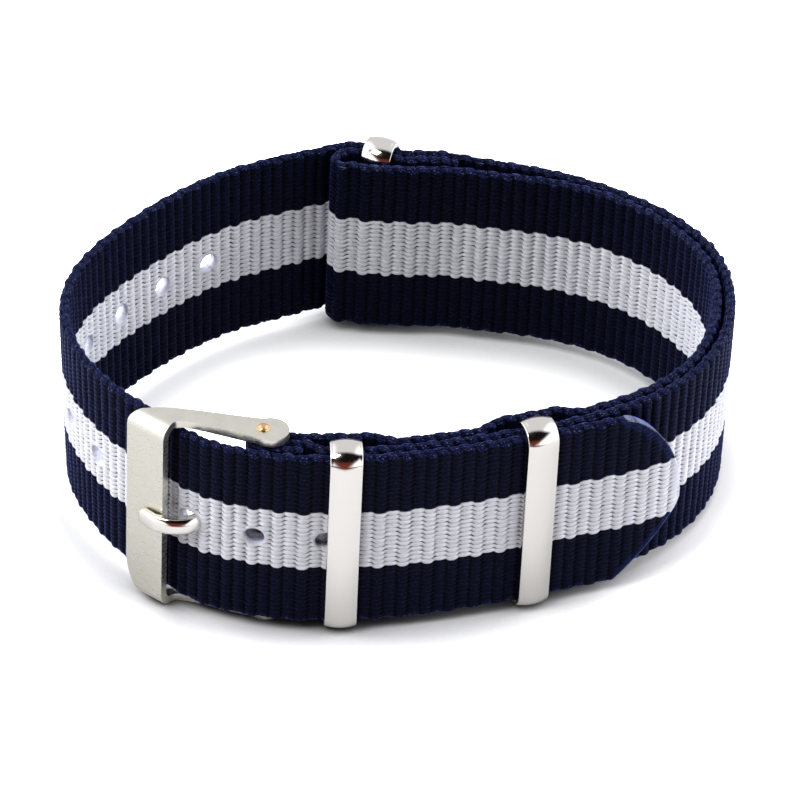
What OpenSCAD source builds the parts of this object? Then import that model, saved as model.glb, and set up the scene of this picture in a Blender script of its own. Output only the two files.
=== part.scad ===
/* [Webbing] */
// Width of the webbing
band_w = 20; // [18:0.5:24]
// Thickness of one ply of webbing
band_t = 1.1; // [0.9:0.05:1.3]
// Air between two plies that lie together but are not welded
ply_air = 0.06; // [0.03:0.01:0.12]
// Extra air under the tip of the tail
tip_lift = 0.6; // [0.2:0.1:1]
// Length of the tail beyond the buckle pin
tail_len = 41.7; // [40:0.1:46]
// Rounding of the tail's tip
tip_r = 3.4; // [2.5:0.1:5]
// Length of the slanting cuts that lead to the tip
tip_len = 7.7; // [6:0.1:10]
// How far the tip lies below the middle of the strap
tip_low = 1.2; // [0:0.1:2]

/* [Loop] */
// Length of the closed loop along the middle of the long strap
loop_len = 64.4; // [60:0.2:72]
// Depth of the closed loop along the middle of the long strap
loop_depth = 48.8; // [46:0.2:56]
// Lean of the oval towards the back right, as a share of its radius
loop_lean = 0.055; // [0.03:0.005:0.07]
// Flattening of the oval on three sides, as a share of its radius
loop_egg = 0.025; // [0:0.005:0.03]
// Bearing of the buckle pin round the loop, anticlockwise from the right
pin_bearing = 249.6; // [247:0.1:252]

/* [Eyelets] */
// Number of eyelets
eyelets = 11; // [8:1:11]
// Distance from eyelet to eyelet
eyelet_pitch = 6.3; // [6:0.1:6.6]
// Diameter of an eyelet
eyelet_d = 2; // [1.6:0.1:2.4]

/* [Buckle] */
// Thickness of the steel strip of the frame
strip_t = 0.8; // [0.7:0.05:1.1]
// Width of the bar, along the strap
bar_w = 4.4; // [4:0.1:5]
// Angle between the bar's face and the strap at the pin
bar_turn = 26; // [22:1:30]
// Air between each edge of the webbing and the arm beside it
arm_air = 0.12; // [0.08:0.02:0.2]
// Inside radius of the bend from the bar into an arm
bend_r = 0.7; // [0.5:0.1:0.9]
// Radius of the bar's upper far corner
upper_corner_r = 1; // [0.6:0.1:2]
// Rounding of the bar's lower outer corner, along the strap and in height
lower_corner_r = 3.1; // [1:0.1:3.2]
lower_corner_h = 5; // [1:0.1:6]
// Distance from the pin to the near corner of the bar, along the strap
reach = 9; // [8.7:0.1:9.5]
// How far the near corner of the bar lies in front of the pin
bar_ahead = 2.6; // [2.4:0.1:3]
// Diameter of an arm's eye
eye_d = 3.5; // [3:0.1:3.8]
// How far the arms reach past the pin, beyond the width of their ends
eye_past = 0.75; // [0:0.05:1]
// How far the pin lies inside the line of the loop
pin_sink = 0.85; // [0.7:0.05:1]
// Diameter of the pin
pin_d = 1.1; // [0.9:0.05:1.2]
// Diameter of the domed head of the pin
head_d = 1.25; // [1.2:0.05:1.7]
// Height of the domed head
head_h = 0.35; // [0.2:0.05:0.5]
// Fit of the pin in the two arms
pin_fit = 0.02; // [0.01:0.01:0.04]
// Air round the pin in whatever turns on it
pin_air = 0.05; // [0.03:0.01:0.1]

/* [Tang] */
// Width of the tang, across the strap
tang_w = 1.5; // [1.2:0.1:2]
// Thickness of the tang at its middle
tang_t = 1.25; // [1:0.05:1.4]
// Thickness of the tang's shank, beside the pin
shank_t = 0.95; // [0.8:0.05:1.1]
// Thickness of the tang at its tip
tang_tip_t = 0.75; // [0.5:0.05:0.9]
// Length of the tang that lies on the bar
tang_on_bar = 2.4; // [1.8:0.1:3]
// Wall of the tang's eye
tang_eye_t = 0.5; // [0.4:0.05:0.55]
// Air between the tang's tip and the bar it rests on
tang_rest = 0.05; // [0.03:0.01:0.08]
// Air round the tang where it passes through the webbing
tang_air = 0.3; // [0.25:0.05:0.4]

/* [Keepers] */
// Width of a keeper, along the strap
keeper_w = 3.1; // [2.6:0.1:3.4]
// Thickness of a keeper at its crown
keeper_t = 0.8; // [0.6:0.05:0.9]
// Thickness of a keeper at its edges
keeper_edge_t = 0.45; // [0.3:0.05:0.55]
// Inside corner radius of a keeper
keeper_r = 0.35; // [0.3:0.01:0.4]
// Air between a keeper and the flat of the webbing in it, each side
keeper_air = 0.15; // [0.1:0.01:0.2]
// Slack on each side of a keeper's back bar in the pocket between two plies
pocket_air = 0.15; // [0.12:0.01:0.2]
// Air between a keeper and each edge of the webbing
keeper_edge_air = 0.17; // [0.12:0.01:0.25]
// Distance of the buckle keeper from the pin, along the strap
buckle_keeper_at = 8; // [7.9:0.1:9]
// Distance of the tail keeper from the pin, along the strap
tail_keeper_at = 26.5; // [24:0.1:28]
// Distance of the end keeper from the pin, along the strap
end_keeper_at = 103.8; // [102:0.1:106]
// Swing of the end keeper out of square
end_keeper_swing = 20; // [15:0.5:24]
// Travel of a front keeper away from the buckle
keeper_travel = 1; // [0.5:0.1:1.2]

/* [Hidden] */

// Facets of round metal
round_fn = 64;
// Length of one facet of the webbing
step = 1;
// Facets of the loop that its length is measured on
turns = 720;
// Lengths along the strap, from the pin: where the two plies of the pin's fold are welded, and where the fold ends
weld_at = 2.6;
fold_len = 4;
// Length over which a ply leaves another or closes on it beside a keeper
ply_ramp = 2.3;
// Length before the pin over which the tail crosses from the line of the loop to the outside
crossing = 14.5;
// Where the short strap starts, and where it leaves and rejoins the long one in the right-hand bend
short_start = 3;
bend_start = 44;
bend_end = 78;
bend_air = 0.6;
bend_ramp = 8;
bend_close = 10;
// The end fold of the short strap: from the keeper to its round, and back to where its end is welded
end_fold = 3.5;
end_return = 8;
end_weld = 2.5;
// Swell of the long strap over the end fold, and slope of the plies in the end keeper
end_swell = 0.6;
ply_slope = end_keeper_swing + 1;
slope_half = 8;

// Two plies that lie together, middle to middle
lap = band_t + ply_air;
// Middle of the webbing folded round the pin, from the pin's centre
fold_r = pin_d / 2 + pin_air + band_t / 2;
// Offset of the tail over the pin, from the line of the loop
over_pin = fold_r + lap - pin_sink;
// Inside depth of a keeper, which holds two plies
keeper_gap = lap + band_t + 2 * keeper_air;
keeper_half = band_w / 2 + keeper_edge_air;
frame_half = band_w / 2 + arm_air + strip_t;
// Radius of the dome of the pin's head
head_round = (head_d * head_d / 4 + head_h * head_h) / (2 * head_h);
// Height of the middle of the webbing over the surface that the buckle and the keepers stand on
mid_z = max(frame_half, keeper_half + keeper_t);
// How far the end keeper swings in its place before its corners meet the plies
end_keeper_play = asin(2 * keeper_air / keeper_w);
// Pocket of a front keeper's back bar, and of the end keeper's, which has room to swing
pocket = keeper_t + 2 * pocket_air;
end_pocket = keeper_t + keeper_w * sin(end_keeper_play) + 2 * pocket_air;

// The line of the loop: an ellipse whose radius leans and flattens with the bearing
function oval(u) =
    let (m = 1 + loop_lean * sin(2 * u) + loop_egg * (cos(3 * u) - sin(3 * u) / 2 - cos(5 * u) / 2))
    [loop_len * cos(u), loop_depth * sin(u)] * m / 2;
function bearing(i) = pin_bearing + i * 360 / turns;
// Length along the loop from the pin, against bearing
lengths = [for (i = 0, s = 0; i <= turns; s = s + norm(oval(bearing(i + 1)) - oval(bearing(i))), i = i + 1)
    [s, bearing(i)]];
girth = lengths[turns][0];
function bearing_at(s) = lookup(s - girth * floor(s / girth), lengths);
function heading(s) = let (u = bearing_at(s), d = oval(u + 0.5) - oval(u - 0.5)) d / norm(d);
function outward(s) = let (d = heading(s)) [d.y, -d.x];
// The point at a length along the loop and an offset outwards
function spot(s, off) = oval(bearing_at(s)) + off * outward(s);
function turn_at(s) = let (d = heading(s)) atan2(d.y, d.x);

function ease(s, a, b) = let (x = max(0, min(1, (s - a) / (b - a)))) (1 - cos(180 * x)) / 2;
function stretch(s, a, b, ramp) = ease(s, a - ramp, a) - ease(s, b, b + ramp);
// A list of lengths from a to b in whole steps, with both ends
function run(a, b) = concat([a], [for (i = [floor(a / step) + 1 : ceil(b / step) - 1]) i * step], [b]);
function back(list) = [for (i = [len(list) - 1 : -1 : 0]) list[i]];

// Offsets of the middles of the plies from the line of the loop
function tail_off(q) = over_pin * ease(q, -crossing, -3)
    - (over_pin - lap) * ease(q, fold_len, fold_len + ply_ramp)
    + tip_lift * ease(q, tail_keeper_at + keeper_w, tail_len);
function fold_off(s) = tail_off(s) - lap;
function slope_off(q) = abs(q) > slope_half ? 0
    : tan(ply_slope) * slope_half / PI * sin(180 * q / slope_half) * pow(cos(90 * q / slope_half), 2);
function start_off(s) = let (w = ease(s, 0, weld_at))
    (w - 1) * (pin_sink + fold_r) + w * (fold_off(s) - band_t);
function main_off(s) = start_off(min(s, fold_len)) * (1 - ease(s, fold_len, fold_len + ply_ramp))
    + end_swell * stretch(s, end_keeper_at - end_fold, end_keeper_at + end_fold, slope_half)
    + slope_off(s - end_keeper_at);
function long_off(s) = s < girth - crossing ? main_off(s) : tail_off(s - girth);
// The end fold's outer ply, and the short strap's inner one
return_start = end_keeper_at - end_return;
round_at = end_keeper_at + end_fold;
function return_off(s) = main_off(s) - lap;
function short_air(s) = pocket * ease(s, fold_len, fold_len + ply_ramp)
    * (1 - ease(s, buckle_keeper_at + keeper_w / 2 + keeper_travel + 0.2,
        buckle_keeper_at + keeper_w / 2 + keeper_travel + 0.2 + ply_ramp))
    + pocket * stretch(s, tail_keeper_at - keeper_w / 2 - keeper_travel - 0.2,
        tail_keeper_at + keeper_w / 2 + keeper_travel + 0.2, ply_ramp)
    + bend_air * stretch(s, bend_start + bend_ramp, bend_end - bend_close, bend_ramp)
    + lap * ease(s, bend_end, return_start)
    + end_pocket * ease(s, return_start + end_weld, end_keeper_at - keeper_w / 2 - 1);
function short_off(s) = main_off(s) - band_t - short_air(s);

// Faces of a ply, as points at its outward and inward side
function long_face(list, side) = [for (s = list) spot(s, long_off(s) + side * band_t / 2)];
function short_face(list, side) = [for (s = list) spot(s, short_off(s) + side * band_t / 2)];
function return_face(list, side) = [for (s = list) spot(s, return_off(s) + side * band_t / 2)];
function fold_face(list, side) = [for (s = list) spot(s, fold_off(s) + side * band_t / 2)];
// A half round from the outward side to the inward side of a centre, bulging along dir times the heading
function half_round(c, s, r, dir, steps) = [for (i = [1 : steps - 1]) let (a = 180 * i / steps)
    c + r * (cos(a) * outward(s) + dir * sin(a) * heading(s))];

pin_at = spot(0, -pin_sink);
pin_turn = turn_at(0);
long_end = girth + tail_len;

// Crown of a keeper's section, and the offset of each keeper's middle
crown_r = (keeper_w * keeper_w / 4 + pow(keeper_t - keeper_edge_t, 2)) / (2 * (keeper_t - keeper_edge_t));
function pair_off(s) = main_off(s) + lap / 2;
function end_pair_off(s) = main_off(s) - lap / 2;
// Middle of the ground rectangle round the whole strap
outer_face = long_face(run(fold_len, girth + fold_len), 1);
function crown_at(s, mid, turn) = spot(s, mid)
    + (keeper_gap / 2 + keeper_t - crown_r) * [sin(turn_at(s) + turn), -cos(turn_at(s) + turn)];
centre = [(min([for (p = outer_face) p.x]) + max([for (p = outer_face) p.x])) / 2,
    (crown_at(buckle_keeper_at, pair_off(buckle_keeper_at), 0).y
    + crown_at(end_keeper_at, end_pair_off(end_keeper_at), -end_keeper_swing).y) / 2];

module place() translate([-centre.x, -centre.y, mid_z]) children();
module at(p, turn) place() translate([p.x, p.y, 0]) rotate([0, 0, turn]) children();
// A flat shape given a height, half above and half below the middle
module slab(height) translate([0, 0, -height / 2]) linear_extrude(height) children();

// The buckle is drawn from the pin's axis: x along the strap, y towards the wrist
bar_dir = [-cos(bar_turn), sin(bar_turn)];
bar_in = [sin(bar_turn), cos(bar_turn)];
bend_out = bend_r + strip_t;
// A point at a distance along the bar from its near edge and a depth behind its face
function bar_point(a, b) = [-reach, -bar_ahead] + a * bar_dir + b * bar_in;
function curve(p, q, r, t) = [for (i = [0 : 10]) let (k = i / 10)
    pow(1 - k, 3) * p + 3 * k * pow(1 - k, 2) * q + 3 * k * k * (1 - k) * r + k * k * k * t];
function knee(p, q, r) = [for (i = [0 : 6]) let (k = i / 6)
    (1 - k) * (1 - k) * p + 2 * k * (1 - k) * q + k * k * r];
// Where the line through p along a meets the line through q along b
function meet(p, a, q, b) = p + a * cross(q - p, b) / cross(a, b);

// Tang: a middle line from the pin, under the tail, out through its eyelet, over the bar's near edge and along its face
tang_eye = pin_d / 2 + pin_air + tang_eye_t;
shank_in = 0.1;
tang_out = [-0.66 * reach, -1.3];
tang_on = bar_point(0.45, -tang_rest - 0.5);
tang_tip = bar_point(tang_on_bar, -tang_rest - tang_tip_t / 2);
tang_line = concat(
    curve([0, shank_in], [0.5 * tang_out.x, shank_in], [0.78 * tang_out.x, -0.1], tang_out),
    [for (i = [1 : 10]) curve(tang_out, [-7, -2.3], [-8.1, -3.6], tang_on)[i]],
    [(tang_on + tang_tip) / 2, tang_tip]);
function tang_half(x) = lookup(x, [[tang_tip.x, tang_tip_t / 2], [tang_on.x, 0.43], [-reach, 0.42],
    [-0.9 * reach, tang_t / 2], [-0.78 * reach, tang_t / 2], [tang_out.x, shank_t / 2], [0, shank_t / 2]]);
function tang_side(i, side, g) = let (n = len(tang_line) - 1,
        v = tang_line[min(i + 1, n)] - tang_line[max(i - 1, 0)], d = v / norm(v))
    tang_line[i] + side * (tang_half(tang_line[i].x) + g) * [-d.y, d.x] + (i == n ? g : 0) * d;
function tang_outline(g) = let (n = len(tang_line) - 1)
    concat([for (i = [0 : n]) tang_side(i, -1, g)], [for (i = [n : -1 : 0]) tang_side(i, 1, g)]);
module tang_way() {
    slab(tang_w + 2 * keeper_air) polygon(tang_outline(tang_air));
    slab(tang_w + 2 * keeper_air) circle(tang_eye + pin_air, $fn = round_fn);
}

module eyelet(q, inside) at(spot(q, long_off(q + girth)), turn_at(q))
    translate([0, band_t / 2 + inside, 0]) rotate([90, 0, 0])
    cylinder(d = eyelet_d, h = band_t + 1 + inside, $fn = 32);

// The waste round the tail's tip: what lies past two slanting cuts and the rounding between them
tip_from = tail_len - tip_len - 1;
tip_mid = [-tip_r, -tip_low];
function cut_corner(side) = [-tip_len, side * band_w / 2];
function cut_angle(side) = let (v = tip_mid - cut_corner(side))
    atan2(v.y, v.x) + side * (asin(tip_r / norm(v)) + 90);
module tip_waste() difference() {
    place() slab(2 * band_w) polygon(concat(
        [for (q = run(tip_from, tail_len + 1)) spot(q, tail_off(q) - (band_t + ply_air) / 2)],
        [for (q = back(run(tip_from, tail_len + 1))) spot(q, tail_off(q) + band_t)]));
    at(spot(tail_len, tail_off(tail_len)), turn_at(tail_len - 4)) rotate([90, 0, 0])
        linear_extrude(2 * band_w, center = true) polygon(concat(
            [[-2 * band_w, -band_w], [-tip_len, -band_w], cut_corner(-1)],
            [for (i = [0 : 16]) let (a = cut_angle(-1) + (cut_angle(1) - cut_angle(-1)) * i / 16)
                tip_mid + tip_r * [cos(a), sin(a)]],
            [cut_corner(1), [-tip_len, band_w], [-2 * band_w, band_w]]));
}

module long_strap() color("#12142a") difference() {
    place() slab(band_w) polygon(concat(
        fold_face(back(run(0, fold_len)), 1),
        half_round(pin_at, 0, fold_r + band_t / 2, -1, 16),
        long_face(run(0, long_end), -1),
        long_face(back(run(fold_len, long_end)), 1)));
    place() slab(band_w + 1) polygon(concat(
        fold_face(run(0, weld_at - 0.5), -1), long_face(back(run(0, weld_at - 0.5)), 1)));
    at(pin_at, pin_turn) cylinder(r = fold_r - band_t / 2, h = band_w + 1, center = true, $fn = round_fn);
    at(pin_at, pin_turn) tang_way();
    for (k = [0 : eyelets - 1]) eyelet((1 - k) * eyelet_pitch, k < 2 ? ply_air / 2 : 1);
    tip_waste();
}

module short_strap() color("#1b1e38") difference() {
    place() slab(band_w) polygon(concat(
        short_face(run(short_start, return_start), 1),
        return_face(run(return_start, round_at), 1),
        half_round(spot(round_at, (return_off(round_at) + short_off(round_at)) / 2), round_at,
            (return_off(round_at) - short_off(round_at) + band_t) / 2, 1, 16),
        short_face(back(run(short_start, round_at)), -1)));
    place() slab(band_w + 1) polygon(concat(
        return_face(run(return_start + end_weld + 0.5, round_at), -1),
        half_round(spot(round_at, (return_off(round_at) + short_off(round_at)) / 2), round_at,
            (return_off(round_at) - short_off(round_at) - band_t) / 2, 1, 12),
        short_face(back(run(return_start + end_weld + 0.5, round_at)), 1)));
}

// The bar with its two bends: a bent strip seen from the side, cut to the rounded outline of its face
module bar_bend(up, corner) intersection() {
    translate([0, 0, up * (frame_half - bend_out)]) intersection() {
        translate([bend_out, 0, 0]) rotate([-90, 0, 0]) difference() {
            cylinder(r = bend_out, h = bar_w, $fn = round_fn);
            translate([0, 0, -1]) cylinder(r = bend_r, h = bar_w + 2, $fn = round_fn);
        }
        translate([0, 0, up > 0 ? 0 : -bend_out]) cube([bend_out, bar_w, bend_out]);
    }
    slab(3 * band_w) polygon([[-1, -1], [bend_out + 1, -1], [bend_out + 1, bar_w - corner], [bend_out, bar_w - corner],
        [strip_t, bar_w], [-1, bar_w]]);
}
// The waste outside a rounded corner of the bar
module bar_corner(up, corner, rise) translate([-1, bar_w - corner, up * (frame_half - rise)])
    rotate([90, 0, 90]) linear_extrude(bend_out + 2) polygon(concat(
        [for (a = [0 : 6 : 90]) [corner * cos(a), up * rise * sin(a)]],
        [[0, up * (rise + 1)], [corner + 1, up * (rise + 1)], [corner + 1, 0]]));
module bar() difference() {
    union() {
        translate([0, 0, bend_out - frame_half]) cube([strip_t, bar_w, 2 * (frame_half - bend_out)]);
        bar_bend(1, upper_corner_r);
        bar_bend(-1, lower_corner_r);
    }
    bar_corner(1, upper_corner_r, upper_corner_r);
    bar_corner(-1, lower_corner_r, lower_corner_h);
}
// An arm from its bend to its eye on the pin, drawn from the bar's near edge like the bar
function from_bar(p) = let (v = p + [reach, bar_ahead]) [v * bar_in, v * bar_dir];
arm_side = eye_d / 2 - 0.2;
module arm(up, corner) translate([0, 0, up > 0 ? frame_half - strip_t : -frame_half]) difference() {
    union() {
        linear_extrude(strip_t) polygon(concat(
            curve([bend_out, 0], [bend_out + 1.3, 0], from_bar([-0.36 * reach, 0.1 - arm_side]),
                from_bar([eye_past, -arm_side])),
            curve(from_bar([eye_past, arm_side]), from_bar([-0.5 * reach, arm_side - 0.6]),
                [bend_out + 2, bar_w - corner - 1.4], [bend_out, bar_w - corner])));
        translate(from_bar([eye_past, 0])) cylinder(d = eye_d, h = strip_t, $fn = round_fn);
    }
    translate(from_bar([0, 0])) translate([0, 0, -1])
        cylinder(d = pin_d + 2 * pin_fit, h = strip_t + 2, $fn = round_fn);
}
module buckle_frame() color("#c9cacc") at(pin_at, pin_turn)
    translate([-reach, -bar_ahead, 0]) rotate([0, 0, 90 - bar_turn]) {
        bar();
        arm(1, upper_corner_r);
        arm(-1, lower_corner_r);
    }

module buckle_pin() color("#b0896a") at(pin_at, pin_turn) {
    translate([0, 0, -frame_half]) cylinder(d = pin_d, h = 2 * frame_half + head_h / 2, $fn = round_fn);
    translate([0, 0, frame_half + pin_fit]) rotate_extrude($fn = round_fn) intersection() {
        square([head_d / 2, head_h]);
        translate([0, head_h - head_round]) circle(head_round, $fn = 128);
    }
}

module buckle_tang() color("#d4d4d6") at(pin_at, pin_turn) difference() {
    union() {
        slab(tang_w) polygon(tang_outline(0));
        cylinder(r = tang_eye, h = tang_w, center = true, $fn = round_fn);
    }
    cylinder(r = pin_d / 2 + pin_air, h = tang_w + 1, center = true, $fn = round_fn);
    // The tip narrows to a blunt point
    for (side = [0, 1]) mirror([0, 0, side]) translate([bar_point(1.2, 0).x, bar_point(1.2, 0).y, tang_w / 2])
        rotate([0, 0, 180 - bar_turn]) rotate([0, 14, 0])
        translate([0, -2 * tang_w, 0]) cube([3 * tang_w, 4 * tang_w, tang_w]);
}

module keeper_section() intersection() {
    translate([0, -keeper_w / 2]) square([keeper_t, keeper_w]);
    translate([keeper_t - crown_r, 0]) circle(crown_r, $fn = 128);
}
// A keeper round its hole: four bars and four round corners
module keeper() rotate([90, 0, 90]) {
    a = keeper_gap / 2 - keeper_r;
    b = keeper_half - keeper_r;
    for (side = [0, 180]) rotate([0, 0, side]) {
        translate([keeper_gap / 2, b, 0]) rotate([90, 0, 0]) linear_extrude(2 * b) keeper_section();
        translate([-a, keeper_half, 0]) rotate([90, 0, 90]) linear_extrude(2 * a) keeper_section();
        translate([a, b, 0]) rotate_extrude(angle = 90, $fn = round_fn)
            translate([keeper_r, 0]) keeper_section();
        translate([-a, b, 0]) rotate([0, 0, 90]) rotate_extrude(angle = 90, $fn = round_fn)
            translate([keeper_r, 0]) keeper_section();
    }
}
module buckle_keeper() color("#dcdcde")
    at(spot(buckle_keeper_at, pair_off(buckle_keeper_at)), turn_at(buckle_keeper_at)) keeper();
module tail_keeper() color("#dcdcde")
    at(spot(tail_keeper_at, pair_off(tail_keeper_at)), turn_at(tail_keeper_at)) keeper();
module end_keeper() color("#dcdcde")
    at(spot(end_keeper_at, end_pair_off(end_keeper_at)), turn_at(end_keeper_at) - end_keeper_swing) keeper();

long_strap();
short_strap();
buckle_frame();
buckle_pin();
buckle_tang();
buckle_keeper();
tail_keeper();
end_keeper();
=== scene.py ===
import math
import bpy
import bmesh
import numpy as np
from mathutils import Matrix, Vector


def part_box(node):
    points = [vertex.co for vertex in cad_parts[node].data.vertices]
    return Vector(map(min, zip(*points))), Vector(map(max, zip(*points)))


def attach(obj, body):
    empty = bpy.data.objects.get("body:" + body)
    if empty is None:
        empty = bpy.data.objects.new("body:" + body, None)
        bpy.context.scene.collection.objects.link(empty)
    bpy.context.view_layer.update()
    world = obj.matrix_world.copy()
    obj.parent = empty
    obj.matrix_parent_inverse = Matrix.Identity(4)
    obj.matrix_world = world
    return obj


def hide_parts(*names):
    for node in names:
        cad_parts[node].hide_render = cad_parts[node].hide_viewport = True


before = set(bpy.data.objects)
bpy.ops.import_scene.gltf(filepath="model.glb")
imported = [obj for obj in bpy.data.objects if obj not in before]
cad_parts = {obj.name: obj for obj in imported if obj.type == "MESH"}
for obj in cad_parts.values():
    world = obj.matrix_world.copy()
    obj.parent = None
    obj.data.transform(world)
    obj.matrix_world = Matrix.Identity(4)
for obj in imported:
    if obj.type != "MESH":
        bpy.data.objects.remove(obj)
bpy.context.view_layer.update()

mm = 0.001


def linearColour(code):
    # each sRGB channel is c / 12.92 up to 0.04045, and above it ((c + 0.055) / 1.055) ^ 2.4
    parts = [int(code[i:i + 2], 16) / 255 for i in (1, 3, 5)]
    return tuple(c / 12.92 if c <= 0.04045 else ((c + 0.055) / 1.055) ** 2.4 for c in parts) + (1.0,)


# camera, in mm and degrees: the photograph was taken from the buckle side, well above the strap
camera = {"lookAt": (0.58, -3.70, 10.97), "elevation": 37.5, "roll": 2.8, "distance": 500,
          "lens": 229.5, "sensor": 36, "nearest": 10}

print("camera")
camData = bpy.data.cameras.new("photoCamera")
camData.lens = camera["lens"]
camData.sensor_width = camera["sensor"]
camData.clip_start = camera["nearest"] * mm
cam = bpy.data.objects.new("photoCamera", camData)
bpy.context.scene.collection.objects.link(cam)
rise = math.radians(camera["elevation"])
aim = Vector(camera["lookAt"]) * mm
back = Vector((0, -math.cos(rise), math.sin(rise)))
cam.matrix_world = (Matrix.Translation(aim + back * camera["distance"] * mm)
                    @ back.to_track_quat("Z", "Y").to_matrix().to_4x4()
                    @ Matrix.Rotation(math.radians(camera["roll"]), 4, "Z"))
bpy.context.scene.camera = cam

# the line of the loop, and where each ply lies from it, in mm; s is the length along the line from the pin
band = {"width": 20, "thick": 1.1, "plyAir": 0.06, "tail": 41.2, "tipLift": 1.0}
loop = {"length": 64.4, "depth": 48.8, "lean": 0.055, "egg": 0.025, "pinBearing": 249.6,
        "centre": (0.288748, -0.228774), "midZ": 10.97}
pinFold = {"pin": 1.1, "air": 0.05, "sink": 0.85, "weld": 2.6, "length": 4, "ramp": 2.3,
           "crossing": 12.8, "crossed": 3}
keepers = {"width": 3.1, "thick": 0.8, "air": 0.15, "travel": 1, "travelSpare": 0.2,
           "pocketAir": 0.12, "pocketRamp": 2.6, "buckle": 8, "tail": 26.5, "end": 103.8, "endShift": 0.06,
           "swing": 20, "slopeMore": 1}
shortPly = {"start": 2.3, "bendAir": 0.25, "bendFrom": 52, "bendTo": 68, "bendRamp": 8, "lapFrom": 78,
            "endFold": 3.5, "endReturn": 8, "endRamp": 2, "endFree": 1, "joinFrom": 0.5,
            "swell": 0.6, "slopeHalf": 8}
# where the webbing stands off the line, and where its lower edge leans inwards, as the photograph shows
lean = {"out": 0.45, "outFrom": 68, "outTo": 84, "outRamp": 12,
        "foot": 0.75, "footFrom": 118, "footTo": 158, "footRamp": 14}

lap = band["thick"] + band["plyAir"]
foldR = pinFold["pin"] / 2 + pinFold["air"] + band["thick"] / 2
overPin = foldR + lap - pinFold["sink"]
pocket = keepers["thick"] + 2 * keepers["pocketAir"]
endPlay = math.asin(2 * keepers["air"] / keepers["width"])
endPocket = keepers["thick"] + keepers["width"] * math.sin(endPlay) + 2 * keepers["pocketAir"]
plySlope = math.radians(keepers["swing"] + keepers["slopeMore"])
returnStart = keepers["end"] - shortPly["endReturn"]
roundAt = keepers["end"] + shortPly["endFold"]


def oval(u):
    # an ellipse whose radius is scaled by 1 + lean sin 2u + egg (cos 3u - sin 3u / 2 - cos 5u / 2)
    a = np.radians(u)
    egg = np.cos(3 * a) - np.sin(3 * a) / 2 - np.cos(5 * a) / 2
    m = 1 + loop["lean"] * np.sin(2 * a) + loop["egg"] * egg
    return np.stack([loop["length"] * np.cos(a) * m / 2, loop["depth"] * np.sin(a) * m / 2], -1)


def runAlong(points):
    # the length from the first point to each one: a running sum of the steps between neighbours
    return np.concatenate([[0], np.cumsum(np.linalg.norm(np.diff(points, axis=0), axis=1))])


# once round from the pin, in half degrees
bearings = loop["pinBearing"] + np.arange(721) * 0.5
lengths = runAlong(oval(bearings))
girth = lengths[-1]


def bearingAt(s):
    # the bearing at which the length along the oval is s, less whole girths
    return np.interp(np.mod(s, girth), lengths, bearings)


def heading(s):
    # the unit vector from half a degree before s to half a degree after it
    u = bearingAt(s)
    d = oval(u + 0.5) - oval(u - 0.5)
    return d / np.linalg.norm(d, axis=-1, keepdims=True)


def spot(s, off):
    # the point of the loop at length s, moved off mm to the right of the heading
    d = heading(s)
    return oval(bearingAt(s)) + np.asarray(off)[..., None] * np.stack([d[..., 1], -d[..., 0]], -1)


def ease(s, a, b):
    # half a cosine from 0 at a to 1 at b
    return (1 - np.cos(np.pi * np.clip((s - a) / (b - a), 0, 1))) / 2


def stretch(s, a, b, ramp):
    # 1 from a to b, eased from 0 over one ramp before a and back to 0 over one ramp after b
    return ease(s, a - ramp, a) - ease(s, b, b + ramp)


def tailOff(q):
    # the tail, q mm past the pin: eased out over the pin's fold, in again to one lap, and lifted at its tip
    return (overPin * ease(q, -pinFold["crossing"], -pinFold["crossed"])
            - (overPin - lap) * ease(q, pinFold["length"], pinFold["length"] + pinFold["ramp"])
            + band["tipLift"] * ease(q, keepers["tail"] + keepers["width"], band["tail"]))


def slopeOff(s):
    # the plies in the end keeper lie askew: tan(slope) half / pi sin(pi q / half) cos(pi q / 2 half)^2
    q = s - keepers["end"]
    half = shortPly["slopeHalf"]
    return np.where(np.abs(q) > half, 0, math.tan(plySlope) * half / np.pi * np.sin(np.pi * q / half)
                    * np.cos(np.pi * q / 2 / half) ** 2)


def mainOff(s):
    # the ply of the loop: out of the pin's fold, along the line, and swelling by eased ramps at the end fold
    nearPin = np.minimum(s, pinFold["length"])
    w = ease(nearPin, 0, pinFold["weld"])
    start = (w - 1) * (pinFold["sink"] + foldR) + w * (tailOff(nearPin) - lap - band["thick"])
    swell = stretch(s, keepers["end"] - shortPly["endFold"], roundAt, shortPly["slopeHalf"])
    return (start * (1 - ease(s, pinFold["length"], pinFold["length"] + pinFold["ramp"]))
            + shortPly["swell"] * swell + slopeOff(s)
            + lean["out"] * stretch(s, lean["outFrom"], lean["outTo"], lean["outRamp"]))


def longOff(s):
    # the ply of the loop up to where it comes round to the pin again, and the tail from there on
    return np.where(s < girth - pinFold["crossing"], mainOff(s), tailOff(s - girth))


def shortAir(s):
    # the air between the plies, a sum of eased steps: the pockets of the two front keepers, the bend,
    # the returned end with its lap, and the pocket of the end keeper
    half = keepers["width"] / 2 + keepers["travel"] + keepers["travelSpare"]
    fold = pinFold["length"]
    end = keepers["buckle"] + half
    away = keepers["pocketRamp"]
    return (pocket * ease(s, fold, fold + pinFold["ramp"]) * (1 - ease(s, end, end + away))
            + pocket * stretch(s, keepers["tail"] - half, keepers["tail"] + half, away)
            + shortPly["bendAir"] * stretch(s, shortPly["bendFrom"], shortPly["bendTo"], shortPly["bendRamp"])
            + lap * ease(s, shortPly["lapFrom"], returnStart)
            + endPocket * ease(s, returnStart - shortPly["endRamp"],
                               keepers["end"] - keepers["width"] / 2 - shortPly["endFree"]))


def shortOff(s):
    # the inner ply keeps straight past the end keeper, and joins the slope at the round of the fold
    straight = 1 - ease(s, keepers["end"] + shortPly["joinFrom"], roundAt)
    return mainOff(s) - slopeOff(s) * straight - band["thick"] - shortAir(s)


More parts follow.
